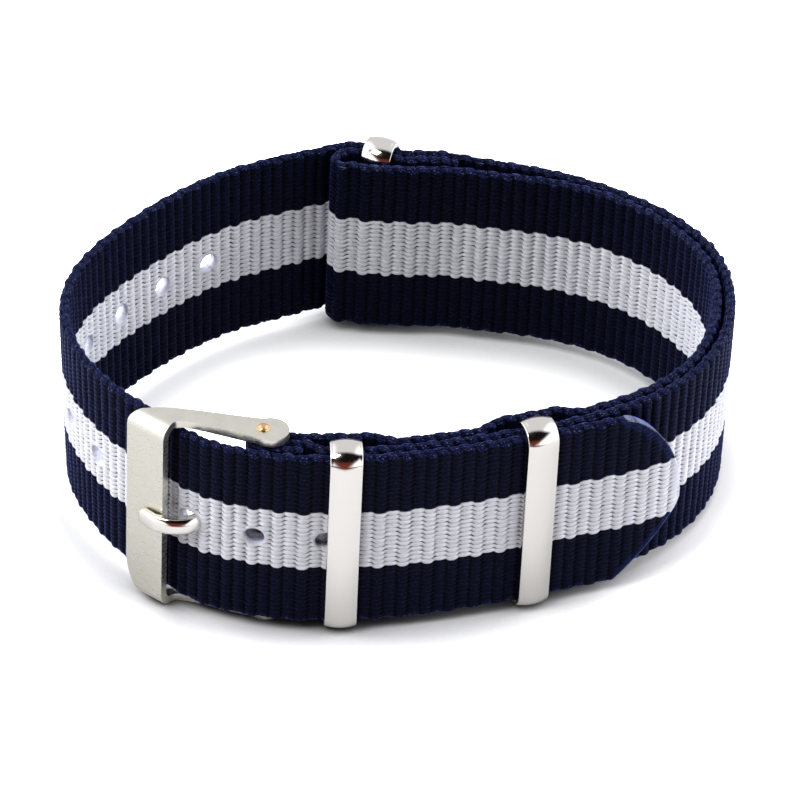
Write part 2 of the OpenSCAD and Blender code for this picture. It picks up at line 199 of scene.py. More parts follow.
def halfRound(c, s, r, side):
    # half a circle about c from the right of the heading to its left, bulging along side times the heading
    a = np.linspace(0, np.pi, 90)[:, None]
    d = heading(s)
    return c + r * (np.cos(a) * np.array([d[1], -d[0]]) + side * np.sin(a) * d)


class Path:
    # the middle line of a ply: points, less those on top of the one before, and the length t to each
    def __init__(self, *parts):
        points = np.concatenate(parts)
        step = np.linalg.norm(np.diff(points, axis=0), axis=1)
        self.points = points[np.concatenate([[True], step > 1e-5])]
        self.t = runAlong(self.points)
        self.total = self.t[-1]

    def at(self, t):
        # the point at length t, on the straight step between two points
        return np.stack([np.interp(t, self.t, self.points[:, k]) for k in (0, 1)], -1)

    def right(self, t):
        # the unit vector to the right of the step from 0.12 mm before t to 0.12 mm after it
        d = self.at(np.minimum(t + 0.12, self.total)) - self.at(np.maximum(t - 0.12, 0))
        d /= np.linalg.norm(d, axis=-1, keepdims=True)
        return np.stack([d[..., 1], -d[..., 0]], -1)


pinAt = spot(np.array(0.0), -pinFold["sink"])
sReturn = np.linspace(pinFold["length"], 0, 80)
sMain = np.linspace(0, girth + band["tail"], 6000)
mainLine = spot(sMain, longOff(sMain))
mainRun = runAlong(mainLine)
longPath = Path(spot(sReturn, tailOff(sReturn) - lap), halfRound(pinAt, 0.0, foldR, -1), mainLine)
foldLength = longPath.total - mainRun[-1]

sInner = np.linspace(shortPly["start"], roundAt, 3500)
sBack = np.linspace(roundAt, returnStart, 400)
roundOuter = mainOff(np.array(roundAt)) - lap
roundInner = shortOff(np.array(roundAt))
roundMid = spot(np.array(roundAt), (roundOuter + roundInner) / 2)
shortPath = Path(spot(sInner, shortOff(sInner)),
                 halfRound(roundMid, roundAt, (roundOuter - roundInner) / 2, 1)[::-1],
                 spot(sBack, mainOff(sBack) - lap))

# woven webbing, in mm: warp yarns run along the strap in rows and dip at each rib, with the ribs of one face
# half a rib from those of the other; a hot cut melts it smooth, and the ribs of the tail are pressed flatter
weave = {"rib": 1.2, "rows": 37, "edgeRows": 4, "ribDepth": 0.23, "rowDepth": 0.12, "loopDepth": 0.1,
         "wave": 0.13, "waveSteep": 2.4, "seed": 7, "unevenRib": 0.15, "unevenFlat": 0.01, "unevenEdge": 0.05,
         "pressed": 0.5, "pressedFrom": 7, "pressedTo": 44, "pressedRamp": 5,
         "meltFrom": 0.05, "melt": 0.35, "meltSink": 0.06, "tipMeltFrom": 0.2, "tipMelt": 0.8,
         "tipGloss": 0.85, "endSink": 0.12, "endRamp": 0.6}
hotCut = {"from": 33.1, "low": 1.9, "above": 12, "below": 8.6, "bulge": (1.8, 1.12), "size": 6.5, "past": 1.3}
ribSteps = np.array([0, 0.12, 0.3, 0.5, 0.7, 0.88])
perRow = 4
flatRows = weave["rows"]
edgeRows = weave["edgeRows"]
ringRows = 2 * (flatRows + edgeRows)
ringSteps = ringRows * perRow


def section(rho):
    # round the ply by rows: outer face upwards, half a circle, inner face downwards, half a circle; rope is
    # the shift of the ribs, 0 on the outer face and half a rib on the inner one
    half = band["thick"] / 2
    flat = band["width"] / 2 - half
    corners = [0, flatRows, flatRows + edgeRows, 2 * flatRows + edgeRows, ringRows]
    across = np.interp(rho, corners, [-flat, flat, flat, -flat, -flat])
    turn = np.interp(rho, corners, [0, 0, np.pi, np.pi, 2 * np.pi])
    rope = np.interp(rho, corners, [0, 0, 0.5, 0.5, 1])
    return across, np.sin(turn), np.cos(turn), rope


def pastTip(along, across):
    # distance inside the hot cut, about size (1 - (x^p + y^p)^(1/p)), with x and y as shares of the cut's
    # length and height, and p as its bulge, one number above the apex and one below; along is 0 at the tip
    y = across + hotCut["low"]
    up = y > 0
    p = np.where(up, *hotCut["bulge"])
    cutLength = band["tail"] - hotCut["from"]
    x = np.clip((along + cutLength) / cutLength, 1e-6, None)
    y = np.clip(np.abs(y) / np.where(up, hotCut["above"], hotCut["below"]), 1e-6, None)
    before = np.clip(hotCut["past"] - cutLength - along, 0, None)
    return hotCut["size"] * (1 - (x ** p + y ** p) ** (1 / p)) + before


def ribPlaces(t0, t1, tip):
    # columns at six parts of every rib from t0 to t1, and at every tenth of the last rib before the tip
    first = t0 / weave["rib"]
    last = t1 / weave["rib"]
    u = (np.arange(math.floor(first), math.ceil(last) + 1)[:, None] + ribSteps).ravel()
    u = np.concatenate([[first], u[(u > first + 0.05) & (u < last - 0.05)], [last]])
    if tip:
        u = np.sort(np.concatenate([u[u < last - 1], np.arange(last - 1, last - 0.05, 0.1), [last]]))
    return u


def insideCuts(t, a, wide, holes, tipAt):
    # distance to the nearest cut edge, which is below zero where the webbing is cut away
    inside = np.full(t.shape, np.inf)
    for hole in holes:
        inside = np.minimum(inside, np.hypot(t - np.clip(t, hole["from"], hole["to"]), a) - hole["r"])
    if tipAt is not None:
        inside = np.minimum(inside, pastTip(t - tipAt, wide))
    return inside


def rimVertices(gone):
    # the vertices that touch both a face that is cut away and one that stays
    around = np.pad(gone, ((1, 1), (0, 0)), mode="edge")
    touch = np.stack([around[:-1], around[1:], np.roll(around[:-1], 1, 1), np.roll(around[1:], 1, 1)])
    return touch.any(0) & ~touch.all(0)


def moveToCuts(t, a, nAcross, rim, holes, tipAt):
    # rim vertices within 0.4 mm of a hole's edge go to its radius, and those within 0.6 mm of the tip's edge
    # go there in three steps, each of the distance times its slope over the square of the slope
    for hole in holes:
        mid = np.clip(t, hole["from"], hole["to"])
        d = np.hypot(t - mid, a)
        k = np.where(rim & (np.abs(d - hole["r"]) < 0.4), hole["r"] / np.maximum(d, 1e-6), 1)
        t = mid + (t - mid) * k
        a = a * k
    if tipAt is None:
        return t, a
    beside = nAcross * band["thick"] / 2
    step = 0.01
    for _ in range(3):
        here = pastTip(t - tipAt, a + beside)
        slopeT = (pastTip(t - tipAt + step, a + beside) - here) / step
        slopeA = (pastTip(t - tipAt, a + beside + step) - here) / step
        move = np.where(rim & (np.abs(here) < 0.6), here, 0) / np.maximum(slopeT ** 2 + slopeA ** 2, 0.3)
        t = t - move * slopeT
        a = a - move * slopeA
    return t, a


def weaveDepth(u, rho, rope, flatness, pressed):
    # how far the weave lies under the face: ribDepth |2c - 1|^2.2, less where pressed and on the edges, plus
    # loopDepth |2 (2c mod 1) - 1|^2 on the edges, plus rowDepth (1 - sin(pi x)) (0.4 + 0.6 |2c - 1|^2), plus
    # a little chance, with c and x the places in the rib and in the row
    c = (u[:, None] + rope) % 1
    x = rho % 1
    rng = np.random.default_rng(weave["seed"])
    uneven = rng.normal(0, 1, (512, 512))
    column = np.floor(u + 1e-6).astype(int)[:, None] % 512
    row = np.floor(rho + 1e-6).astype(int) % 512
    ribs = (weave["ribDepth"] * (1 - weave["pressed"] * pressed) * np.abs(2 * c - 1) ** 2.2
            * (1 + weave["unevenRib"] * uneven[column, row]) * (0.1 + 0.9 * flatness))
    loops = weave["loopDepth"] * (1 - flatness) * np.abs(2 * (2 * c % 1) - 1) ** 2
    rows = weave["rowDepth"] * (1 - np.sin(np.pi * x)) * (0.4 + 0.6 * np.abs(2 * c - 1) ** 2)
    chance = (weave["unevenFlat"] + weave["unevenEdge"] * (1 - flatness)) * np.abs(uneven[row, column])
    return ribs + loops + rows + chance


def facesAndWalls(gone, u, rho):
    # quads with the places of their corners in ribs and rows, and walls that join the webbing's two faces
    # wherever a face has nothing beside it; a wall with two corners in one is a triangle
    index = np.arange((gone.shape[0] + 1) * gone.shape[1]).reshape(-1, gone.shape[1])
    flip = index[:, ((2 * flatRows + edgeRows) * perRow - np.arange(ringSteps)) % ringSteps].ravel()
    p00 = index[:-1]
    p01 = np.roll(p00, -1, 1)
    p10 = index[1:]
    p11 = np.roll(p10, -1, 1)
    keep = ~gone
    faces = np.stack([p00, p10, p11, p01], -1)[keep]
    uMesh = u[:, None] + section(rho)[3]
    rMesh = rho + np.zeros_like(uMesh)
    uNext = u[:, None] + section(rho + 1 / perRow)[3]
    rNext = rMesh + 1 / perRow
    uv = np.stack([np.stack([uMesh[:-1], rMesh[:-1]], -1), np.stack([uMesh[1:], rMesh[:-1]], -1),
                   np.stack([uNext[1:], rNext[:-1]], -1), np.stack([uNext[:-1], rNext[:-1]], -1)], 2)[keep]
    outer = (rho + edgeRows / 2) % ringRows < flatRows + edgeRows
    padded = np.pad(gone, ((1, 1), (0, 0)), constant_values=True)
    walls = []
    wallUv = []
    for p, q, beside in ((p00, p10, np.roll(gone, 1, 1)), (p10, p11, padded[2:]),
                         (p11, p01, np.roll(gone, -1, 1)), (p01, p00, padded[:-2])):
        edge = keep & beside & outer
        walls.append(np.stack([q[edge], p[edge], flip[p[edge]], flip[q[edge]]], -1))
        wallUv.append(np.stack([uMesh.ravel()[p[edge]], rMesh.ravel()[p[edge]] + 0.5], -1))
    walls = np.concatenate(walls)
    wallUv = np.concatenate(wallUv)
    square = (walls[:, 1] != walls[:, 2]) & (walls[:, 0] != walls[:, 3])
    odd = walls[~square]
    threes = np.where((odd[:, 1] == odd[:, 2])[:, None], odd[:, [0, 1, 3]], odd[:, [0, 1, 2]])
    uvAll = np.concatenate([uv.reshape(-1, 2), np.repeat(wallUv[square], 4, 0),
                            np.repeat(wallUv[~square], 3, 0)])
    return (faces, walls[square], threes), uvAll


def makePiece(name, verts, faces, seam):
    # a mesh that is smooth but for the edges whose vertices share one seam number above zero: its two ends
    mesh = bpy.data.meshes.new(name)
    mesh.from_pydata((np.asarray(verts) * mm).tolist(), [], faces)
    mesh.polygons.foreach_set("use_smooth", np.ones(len(mesh.polygons), bool))
    ends = np.empty(2 * len(mesh.edges), int)
    mesh.edges.foreach_get("vertices", ends)
    ends = seam[ends.reshape(-1, 2)]
    mesh.attributes.new("sharp_edge", "BOOLEAN", "EDGE").data.foreach_set(
        "value", (ends[:, 0] == ends[:, 1]) & (ends[:, 0] > 0))
    obj = bpy.data.objects.new(name, mesh)
    bpy.context.scene.collection.objects.link(obj)
    return obj


def weaveStrip(name, path, t0, t1, holes, tip, loopFrom):
    # a grid of ribs by rows: a vertex lies at path(t) + right (half - sink) through the ply, and at middle +
    # across + wave up, where sink is the weave's depth, wave = tanh(2.4 sin(pi u)) and u counts ribs
    half = band["thick"] / 2
    u = ribPlaces(t0, t1, tip)
    rho = np.arange(ringSteps) / perRow
    across, nAcross, nThrough, rope = section(rho)
    t = (u * weave["rib"])[:, None] + np.zeros_like(rho)
    a = across + np.zeros_like(t)
    wide = a + nAcross * half
    tipAt = path.total if tip else None
    # near a cut edge the webbing is melted smooth, and whatever lies past the edge is left out
    inside = insideCuts(t, a, wide, holes, tipAt)
    melt = 1 - ease(inside, weave["meltFrom"], weave["melt"])
    gloss = melt
    if tip:
        tipPart = 1 - ease(pastTip(t - tipAt, wide), weave["tipMeltFrom"], weave["tipMelt"])
        gloss = np.maximum(melt, weave["tipGloss"] * tipPart)
    faceInside = inside + np.roll(inside, -1, 1)
    gone = faceInside[1:] + faceInside[:-1] < 0
    lively = 1 - melt
    flatness = nThrough ** 2
    yarn = np.sin(np.pi * (u[:, None] + np.minimum(rope, 1 - rope)))
    wave = np.tanh(weave["waveSteep"] * yarn) * weave["wave"] * flatness * lively
    pressed = 0
    if loopFrom is not None:
        tailT = loopFrom + girth
        pressed = stretch(t - tailT, weave["pressedFrom"], weave["pressedTo"], weave["pressedRamp"])
    sink = (weaveDepth(u, rho, rope, flatness, pressed) * lively + weave["meltSink"] * melt
            + weave["endSink"] * (1 - ease(np.minimum(t, path.total - t), 0, weave["endRamp"])))
    t, a = moveToCuts(t, a, nAcross, rimVertices(gone), holes, tipAt)
    t = np.clip(t, 0, path.total)
    right = path.right(t)
    verts = np.empty(t.shape + (3,))
    verts[..., :2] = path.at(t) + right * (nThrough * (half - sink))[..., None] - loop["centre"]
    verts[..., 2] = loop["midZ"] + a + wave + nAcross * (half - sink)
    if loopFrom is not None:
        foot = lean["foot"] * stretch(t - loopFrom, lean["footFrom"], lean["footTo"], lean["footRamp"])
        verts[..., :2] -= right * (foot * (0.5 - a / band["width"]))[..., None]
    # vertices that no face uses go out, and the ends of the piece are numbered 1 and 2
    faceSets, uvAll = facesAndWalls(gone, u, rho)
    used = np.unique(np.concatenate([f.ravel() for f in faceSets]))
    renumber = np.zeros(t.size, int)
    renumber[used] = np.arange(len(used))
    seam = np.zeros(t.shape, int)
    seam[0] = 1
    seam[-1] = 2
    faceList = sum((renumber[f].tolist() for f in faceSets), [])
    obj = makePiece(name, verts.reshape(-1, 3)[used], faceList, seam.ravel()[used])
    obj.data.uv_layers.new(name="weave").data.foreach_set("uv", uvAll.ravel().astype(np.float32))
    meltValues = obj.data.attributes.new("melt", "FLOAT", "POINT")
    meltValues.data.foreach_set("value", gloss.ravel()[used].astype(np.float32))
    print(name, len(obj.data.polygons), "faces")
    return obj


def longT(s):
    # length along the long strap's middle line where the loop's length is s
    return float(foldLength + np.interp(s, sMain, mainRun))


def cutPlaces(total, count):
    # count equal shares of the length, each rounded to whole ribs, so that the pieces meet in a groove
    return [round(total * k / count / weave["rib"]) * weave["rib"] for k in range(count)] + [total]


print("webbing")
# eyelets, in mm: the first lies past the pin, the second at it, and the third is pulled longer by the tang;
# the slot lets the tang through the fold
eyelets = {"pitch": 6.3, "count": 11, "r": 1.0, "tangAt": 2, "pulled": 0.25, "slotR": 1.1, "slotMore": 0.6}
longHoles = []
for k in range(eyelets["count"]):
    place = girth + eyelets["pitch"] * (1 - k)
    pulled = eyelets["pulled"] if k == eyelets["tangAt"] else 0
    longHoles.append({"from": longT(place), "to": longT(place + pulled), "r": eyelets["r"]})
longHoles.append({"from": foldLength - math.pi * foldR - eyelets["slotMore"],
                  "to": foldLength + eyelets["slotMore"], "r": eyelets["slotR"]})

# each strap is drawn in a few pieces, and a piece needs the holes up to 2 mm past its ends
strapPieces = []
for label, path, count, holes, loopFrom, node, slot in (
        ("longStrap", longPath, 5, longHoles, foldLength, "long_strap", "webbing"),
        ("shortStrap", shortPath, 3, [], None, "short_strap", "short_webbing")):
    cuts = cutPlaces(path.total, count)
    for k in range(count):
        here = [h for h in holes if h["to"] > cuts[k] - 2 and h["from"] < cuts[k + 1] + 2]
        tip = path is longPath and k == count - 1
        piece = weaveStrip(label + "ABCDE"[k], path, cuts[k], cuts[k + 1], here, tip, loopFrom)
        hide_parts(node)
        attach(piece, "strap")
        strapPieces.append(piece)

# metal, in mm: keepers bent from strip, and a tang drawn round its own line, whose numbers start at the pin
print("metal")
strip = {"gap": lap + band["thick"] + 2 * keepers["air"], "half": band["width"] / 2 + 0.17, "edge": 0.45,
         "outerR": 2.07, "innerR": 0.9, "broken": 0.14, "innerBroken": 0.07, "turnSteps": 17}
tang = {"half": 0.82, "reach": 9, "thick": 1.25, "shank": 0.95, "tip": 0.8, "barTurn": 26, "barAhead": 2.6,
        "onBar": 2.4, "barAir": 0.05, "landing": (0.45, 0.66), "bend": (-5.6, -1.3),
        "shankCurve": ((0.4, 0.1), (-2.8, 0.1), (-5.3, -0.1)), "dipCurve": ((-5.6, -2.6), (-7.8, -3.4)),
        "thickFrom": 0.72, "thickTo": 0.9, "onBarHalf": 0.5, "noseLength": 0.4, "cornerDown": 0.5}


def closedGrid(name, points, capped=False):
    # points[i, j] goes round in j; it goes round in i too, or is closed at both ends
    index = np.arange(points.shape[0] * points.shape[1]).reshape(points.shape[:2])
    here, ahead = (index[:-1], index[1:]) if capped else (index, np.roll(index, -1, 0))
    faces = np.stack([here, ahead, np.roll(ahead, -1, 1), np.roll(here, -1, 1)], -1)
    faces = faces.reshape(-1, 4).tolist()
    if capped:
        faces += [index[0].tolist(), index[-1, ::-1].tolist()]
    mesh = bpy.data.meshes.new(name)
    mesh.from_pydata((points.reshape(-1, 3) * mm).tolist(), [], faces)
    work = bmesh.new()
    work.from_mesh(mesh)
    bmesh.ops.recalc_face_normals(work, faces=work.faces)
    work.to_mesh(mesh)
    work.free()
    mesh.polygons.foreach_set("use_smooth", np.ones(len(mesh.polygons), bool))
    obj = bpy.data.objects.new(name, mesh)
    bpy.context.scene.collection.objects.link(obj)
    return obj


def stripSection():
    # inner face h = 0 and crown h = thick - (thick - edge) (w / half)^2, corners broken by quarter circles
    half = keepers["width"] / 2
    thick = keepers["thick"]
    r = strip["broken"]
    inner = strip["innerBroken"]
    q = np.linspace(0, np.pi / 2, 6)
    w = np.linspace(-half + r, half - r, 15)
    crown = thick - (thick - strip["edge"]) * (w / half) ** 2
    wOut = np.concatenate([-half + r - r * np.cos(q), w[1:-1], half - r + r * np.sin(q),
                           half - inner * (1 - np.cos(q)), -half + inner * (1 - np.sin(q))])
    hOut = np.concatenate([crown[0] - r + r * np.sin(q), crown[1:-1], crown[0] - r + r * np.cos(q),
                           inner * (1 - np.sin(q)), inner * (1 - np.cos(q))])
    return wOut, hOut


def keeperRing(name, s, off, turn):
    # the strip's section goes round a rounded rectangle, between an inner and an outer line by its share of h
    wOut, hOut = stripSection()
    steps = strip["turnSteps"]
    angles = np.concatenate([np.linspace(0, np.pi / 2, steps) + k * np.pi / 2 for k in range(4)])
    quarter = np.repeat(np.arange(4), steps)
    sx = np.array([1, -1, -1, 1])[quarter]
    sz = np.array([1, 1, -1, -1])[quarter]
    lines = []
    for grow, radius in ((0, strip["innerR"]), (keepers["thick"], strip["outerR"])):
        n = sx * (strip["gap"] / 2 + grow - radius) + radius * np.cos(angles)
        z = sz * (strip["half"] + grow - radius) + radius * np.sin(angles)
        lines.append(np.stack([n, z], -1))
    share = (hOut / keepers["thick"])[None, :, None]
    nz = lines[0][:, None] * (1 - share) + lines[1][:, None] * share
    ahead = heading(s)
    angle = math.atan2(ahead[1], ahead[0]) - math.radians(turn)
    along = np.array([math.cos(angle), math.sin(angle)])
    out = np.array([math.sin(angle), -math.cos(angle)])
    points = np.empty(nz.shape[:2] + (3,))
    middle = spot(np.array(s), off) - loop["centre"]
    points[..., :2] = middle + wOut[None, :, None] * along + nz[..., :1] * out
    points[..., 2] = loop["midZ"] + nz[..., 1]
    return closedGrid(name, points)


def bezier(p, q, r, t, k):
    # (1-k)^3 p + 3k (1-k)^2 q + 3k^2 (1-k) r + k^3 t
    p, q, r, t = (np.array(point) for point in (p, q, r, t))
    k = k[:, None]
    return (1 - k) ** 3 * p + 3 * k * (1 - k) ** 2 * q + 3 * k ** 2 * (1 - k) * r + k ** 3 * t


def tangRod(name):
    # a bent rod: middle line of two cubic curves and a straight end on the bar; section |y/h|^4 + |z/b|^4 = 1
    # with its upper front edge taken down by 0.5 h (z/b)^1.6; half a circle at the end
    turn = math.radians(tang["barTurn"])
    bar = np.array([-tang["reach"], -tang["barAhead"]])
    alongBar = np.array([-math.cos(turn), math.sin(turn)])
    offBar = np.array([math.sin(turn), math.cos(turn)])
    on = bar + tang["landing"][0] * alongBar - tang["landing"][1] * offBar
    tip = bar + tang["onBar"] * alongBar - (tang["barAir"] + tang["tip"] / 2) * offBar
    k = np.linspace(0, 1, 24)
    line = np.concatenate([bezier(*tang["shankCurve"], tang["bend"], k),
                           bezier(tang["bend"], *tang["dipCurve"], on, k)[1:],
                           on + (tip - on) * np.linspace(0, 1, 30)[1:, None]])
    run = runAlong(line)
    left = run[-1] - run
    d = np.gradient(line, axis=0)
    d /= np.linalg.norm(d, axis=1, keepdims=True)
    front = np.stack([-d[:, 1], d[:, 0]], -1)
    reach = tang["reach"]
    places = [0, -tang["bend"][0], tang["thickFrom"] * reach, tang["thickTo"] * reach, reach, -tip[0]]
    shank = tang["shank"] / 2
    thick = tang["thick"] / 2
    halves = [shank, shank, thick, thick, tang["onBarHalf"], tang["tip"] / 2]
    height = np.interp(-line[:, 0], places, halves)
    b = tang["half"] * np.sqrt(1 - np.clip(1 - left / tang["half"], 0, 0.98) ** 2)
    h = height * np.sqrt(1 - np.clip(1 - left / tang["noseLength"], 0, 0.9) ** 2)
    a = np.linspace(0, 2 * np.pi, 41)[:-1]
    y = np.sign(np.cos(a)) * np.abs(np.cos(a)) ** 0.5
    z = np.sign(np.sin(a)) * np.abs(np.sin(a)) ** 0.5
    y = y - tang["cornerDown"] * np.clip(z, 0, 1) ** 1.6 * np.clip(y, 0, 1)
    flat = line[:, None] + front[:, None] * (h[:, None] * y)[..., None]
    pin = heading(0.0)
    points = np.empty((len(line), len(a), 3))
    across = np.array([-pin[1], pin[0]])
    points[..., :2] = pinAt - loop["centre"] + flat[..., :1] * pin + flat[..., 1:] * across
    points[..., 2] = loop["midZ"] + b[:, None] * z
    return closedGrid(name, points, True)


def bevelledCopy(node, name, width):
    # the CAD solid as one surface: points that lie together merged, flat faces joined, and every edge that
    # turns by more than 0.6 radians broken by a round of the given width in mm
    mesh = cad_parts[node].data.copy()
    mesh.name = name
    obj = bpy.data.objects.new(name, mesh)
    bpy.context.scene.collection.objects.link(obj)
    work = bmesh.new()
    work.from_mesh(mesh)
    bmesh.ops.remove_doubles(work, verts=work.verts, dist=0.001 * mm)
    bmesh.ops.dissolve_limit(work, angle_limit=0.01, verts=work.verts, edges=work.edges)
    work.to_mesh(mesh)
    work.free()
    mesh.polygons.foreach_set("use_smooth", np.ones(len(mesh.polygons), bool))
    mesh.materials.clear()
    bevel = obj.modifiers.new("brokenEdges", "BEVEL")
    bevel.width = width * mm
    bevel.segments = 3
    bevel.limit_method = "ANGLE"
    bevel.angle_limit = 0.6
    obj.modifiers.new("evenShading", "WEIGHTED_NORMAL")
    return obj


def newMaterial(name):
    # a new material with its node tree and its shader
    mat = bpy.data.materials.new(name)
    mat.use_nodes = True
    return mat, mat.node_tree, mat.node_tree.nodes["Principled BSDF"]


def addNode(tree, kind, settings=None, **links):
    # makes a node, sets its own properties, and fills its sockets, named or as i0 and i1, from values, nodes
    # or sockets
    node = tree.nodes.new("ShaderNode" + kind)
    for key, value in (settings or {}).items():
        setattr(node, key, value)
    for key, value in links.items():
        name = key.replace("_", " ")
        if key[1:].isdigit():
            socket = node.inputs[int(key[1:])]
        else:
            socket = next(i for i in node.inputs if i.enabled and i.name == name)
        if isinstance(value, bpy.types.Node):
            value = next(o for o in value.outputs if o.enabled)
        if isinstance(value, bpy.types.NodeSocket):
            tree.links.new(value, socket)
        else:
            socket.default_value = value
    return node


# the settings that many nodes share
add = {"operation": "ADD"}
subtract = {"operation": "SUBTRACT"}
multiply = {"operation": "MULTIPLY"}
multiplyAdd = {"operation": "MULTIPLY_ADD"}
absolute = {"operation": "ABSOLUTE"}
above = {"operation": "GREATER_THAN"}
pingPong = {"operation": "PINGPONG"}
smooth = {"interpolation_type": "SMOOTHSTEP"}
mixColour = {"data_type": "RGBA"}
flatNoise = {"noise_dimensions": "2D"}

print("materials")
# nylon webbing, woven of filament yarn: rows 0.51 mm apart meet in a thin line of painted shade, blackest
# where a rib ends; at a slant it shows a blue sheen, and hot-cut edges are melted to a smooth, glossier blue
# the colours for the grooves and row gaps are painted shade, and the pale blue-grey one is painted glints
nylon = {"navy": "#090b1c", "navyLoop": "#0e1330", "navyPaintedShade": "#000002", "paintedGlint": "#7e87b4",
         "white": "#e5e6ea", "whitePaintedShade": "#1c2036", "whiteRows": 13,
         "melted": "#1e2a56", "meltedWhite": "#c2c6d4", "rough": 0.45, "meltedRough": 0.3,
         "specular": 0.03, "sheen": 1.0, "sheenRough": 0.3, "sheenTone": "#4c5cb4"}
webMat, tree, shader = newMaterial("wovenNylonWebbing")
# the pattern counts real ribs of 1.2 mm in x and real rows of 0.51 mm in y
weaveUv = addNode(tree, "UVMap", {"uv_map": "weave"}).outputs["UV"]
places = addNode(tree, "SeparateXYZ", Vector=weaveUv)
melt = addNode(tree, "Attribute", {"attribute_name": "melt"}).outputs["Fac"]
notMelted = addNode(tree, "Math", subtract, i0=1.0, i1=melt)
# the row from the lower edge of either face, and with it the white stripe and the round edge
onBack = addNode(tree, "Math", above, i0=places.outputs["Y"], i1=flatRows + edgeRows - 0.01)
backRows = addNode(tree, "Math", multiply, i0=onBack, i1=float(flatRows + edgeRows))
faceRow = addNode(tree, "Math", subtract, i0=places.outputs["Y"], i1=backRows)
whitePart = addNode(tree, "Math", {"operation": "COMPARE"},
                    i0=faceRow, i1=flatRows / 2, i2=nylon["whiteRows"] / 2)
edgePart = addNode(tree, "Math", above, i0=faceRow, i1=float(flatRows))
# painted shade: dark marks in the gaps between the rows, and a faint shaded line along each rib's groove
rowNear = addNode(tree, "Math", pingPong, i0=places.outputs["Y"], i1=0.5)
ribNear = addNode(tree, "Math", pingPong, i0=places.outputs["X"], i1=0.5)
rowGapShade = addNode(tree, "MapRange", smooth, Value=rowNear, From_Min=0.21, From_Max=0.05)
ribEndShade = addNode(tree, "MapRange", smooth, Value=ribNear, From_Min=0.28, From_Max=0.1,
                 To_Min=0.26, To_Max=1.0)
grooveShade = addNode(tree, "MapRange", smooth, Value=ribNear, From_Min=0.12, From_Max=0.0, To_Max=0.16)
uneven = addNode(tree, "TexNoise", flatNoise, Vector=weaveUv, Scale=0.7, Detail=2.0)
unevenLine = addNode(tree, "MapRange", Value=uneven, From_Min=0.3, From_Max=0.7, To_Min=0.45, To_Max=1.15)
gapShade = addNode(tree, "Math", multiply, i0=rowGapShade, i1=ribEndShade)
gapShade = addNode(tree, "Math", multiply, i0=gapShade, i1=unevenLine)
gapShade = addNode(tree, "Math", {"operation": "MAXIMUM", "use_clamp": True}, i0=gapShade, i1=grooveShade)
gapShade = addNode(tree, "Math", multiply, i0=gapShade, i1=notMelted)
# navy yarn: a little brighter on the round edge, with painted glints of lit filaments as small bright spots,
# and dark in the grooves by painted shade
navyTop = addNode(tree, "Mix", mixColour, Factor=edgePart,
                  A=linearColour(nylon["navy"]), B=linearColour(nylon["navyLoop"]))
specks = addNode(tree, "TexNoise", flatNoise, Vector=weaveUv, Scale=4.5, Detail=1.0)
glintPart = addNode(tree, "MapRange", smooth, Value=specks, From_Min=0.62, From_Max=0.78)
glintMost = addNode(tree, "Math", multiplyAdd, i0=edgePart, i1=0.45, i2=0.06)
glintShare = addNode(tree, "Math", multiply, i0=glintPart, i1=glintMost)
navyGlinted = addNode(tree, "Mix", mixColour, Factor=glintShare, A=navyTop, B=linearColour(nylon["paintedGlint"]))
# painted shade in each rib's valley, darkest at its groove, wherever the webbing is not melted
valleyShade = addNode(tree, "MapRange", smooth, Value=ribNear, From_Min=0.22, From_Max=0.0, To_Max=0.8)
valleyShade = addNode(tree, "Math", multiply, i0=valleyShade, i1=notMelted)
navyShadeShare = addNode(tree, "Math", {"operation": "MAXIMUM"}, i0=gapShade, i1=valleyShade)
navy = addNode(tree, "Mix", mixColour, Factor=navyShadeShare, A=navyGlinted, B=linearColour(nylon["navyPaintedShade"]))
# the white takes the painted shade of the row gaps and grooves as well
white = addNode(tree, "Mix", mixColour, Factor=gapShade,
                A=linearColour(nylon["white"]), B=linearColour(nylon["whitePaintedShade"]))
woven = addNode(tree, "Mix", mixColour, Factor=whitePart, A=navy, B=white)
# filaments along the yarn, drawn coarser than real ones, as a change of tone and a fine relief
stretched = addNode(tree, "Mapping", Vector=weaveUv, Scale=(1.5, 4.0, 1.0))
fibre = addNode(tree, "TexNoise", flatNoise, Vector=stretched, Scale=1.0, Detail=2.0)
tone = addNode(tree, "MapRange", Value=fibre, From_Min=0.3, From_Max=0.7, To_Min=0.84, To_Max=1.1)
toneColour = addNode(tree, "CombineColor", Red=tone, Green=tone, Blue=tone)
woven = addNode(tree, "Mix", {"data_type": "RGBA", "blend_type": "MULTIPLY"},
                Factor=1.0, A=woven, B=toneColour)
bump = addNode(tree, "Bump", Strength=0.3, Distance=0.00005, Height=fibre)
# the hot cut: a torn blue film on the navy, whitish on the white and on the wall of the cut
meltWall = addNode(tree, "MapRange", smooth, Value=melt, From_Min=0.93, From_Max=1.0)
meltWall = addNode(tree, "Math", multiply, i0=meltWall, i1=fibre)
meltNavy = addNode(tree, "Mix", mixColour, Factor=meltWall,
                   A=linearColour(nylon["melted"]), B=linearColour(nylon["meltedWhite"]))
meltTint = addNode(tree, "Mix", mixColour, Factor=whitePart, A=meltNavy, B=linearColour(nylon["meltedWhite"]))
meltTorn = addNode(tree, "MapRange", Value=specks, From_Min=0.35, From_Max=0.65, To_Min=0.2, To_Max=0.8)
meltShare = addNode(tree, "Math", multiply, i0=melt, i1=meltTorn)
woven = addNode(tree, "Mix", mixColour, Factor=meltShare, A=woven, B=meltTint)
gloss = addNode(tree, "MapRange", Value=melt, To_Min=nylon["rough"], To_Max=nylon["meltedRough"])
tree.links.new(woven.outputs[2], shader.inputs["Base Color"])
tree.links.new(gloss.outputs[0], shader.inputs["Roughness"])
tree.links.new(bump.outputs[0], shader.inputs["Normal"])
shader.inputs["Specular IOR Level"].default_value = nylon["specular"]
